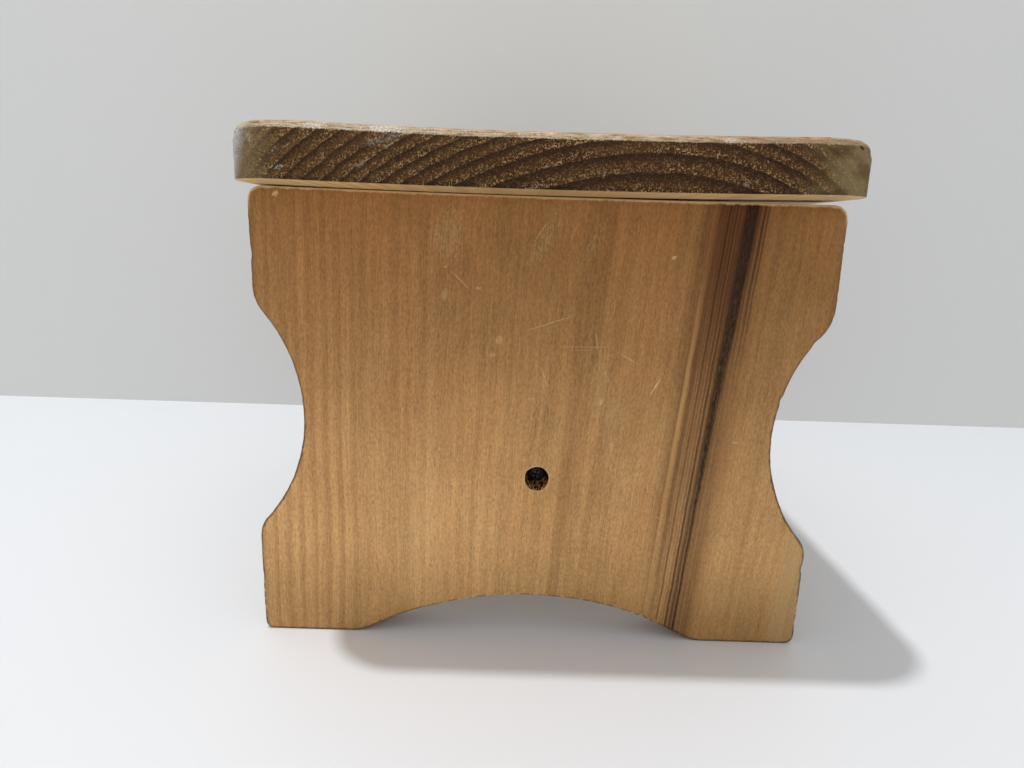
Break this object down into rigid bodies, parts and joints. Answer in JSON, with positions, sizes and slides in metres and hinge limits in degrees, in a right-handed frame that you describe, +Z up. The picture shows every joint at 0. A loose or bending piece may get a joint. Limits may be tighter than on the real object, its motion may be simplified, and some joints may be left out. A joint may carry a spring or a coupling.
{
  "type": "tilt top table",
  "caption": "Small low solid-wood table: scroll-cut end panels joined by a stretcher and a hinge rail, with a rounded board top that tilts up on butt hinges.",
  "frame": {"origin": "on the floor, midway between the two end panels and midway across them; the hinge barrels stand a few millimetres proud on the -X side", "axes": "+X across the top towards its free edge, +Y along the top from the front end to the rear end, +Z up"},
  "size_m": [0.2608, 0.356, 0.23],
  "materials": {
    "top_wood": "dark worn end grain, paler worn edges, thin old finish",
    "panel_wood": "tan flat-sawn board, satin, darker rough-sawn edges",
    "frame_wood": "bare planed wood, dull",
    "hinge_brass": "aged, satin",
    "screw_steel": "zinc-plated, dulled"
  },
  "bodies": {
    "base": {"front_end_panel": "panel_wood", "rear_end_panel": "panel_wood", "stretcher": "frame_wood", "hinge_rail": "frame_wood", "front_glue_block": "frame_wood", "rear_glue_block": "frame_wood", "front_stretcher_screw": "screw_steel", "rear_stretcher_screw": "screw_steel", "front_fixed_leaf": "hinge_brass", "rear_fixed_leaf": "hinge_brass", "front_hinge_pin": "hinge_brass", "rear_hinge_pin": "hinge_brass", "front_rail_screw_1": "hinge_brass", "front_rail_screw_2": "hinge_brass", "rear_rail_screw_1": "hinge_brass", "rear_rail_screw_2": "hinge_brass"},
    "top": {"top_board": "top_wood", "front_moving_leaf": "hinge_brass", "rear_moving_leaf": "hinge_brass", "front_top_screw_1": "hinge_brass", "front_top_screw_2": "hinge_brass", "rear_top_screw_1": "hinge_brass", "rear_top_screw_2": "hinge_brass"}
  },
  "joints": [
    {"name": "top_tilt", "type": "hinge", "parent": "base", "child": "top", "pos_m": [-0.1299, 0, 0.2072], "axis": [0, -1, 0], "range_deg": [0, 95]}
  ]
}
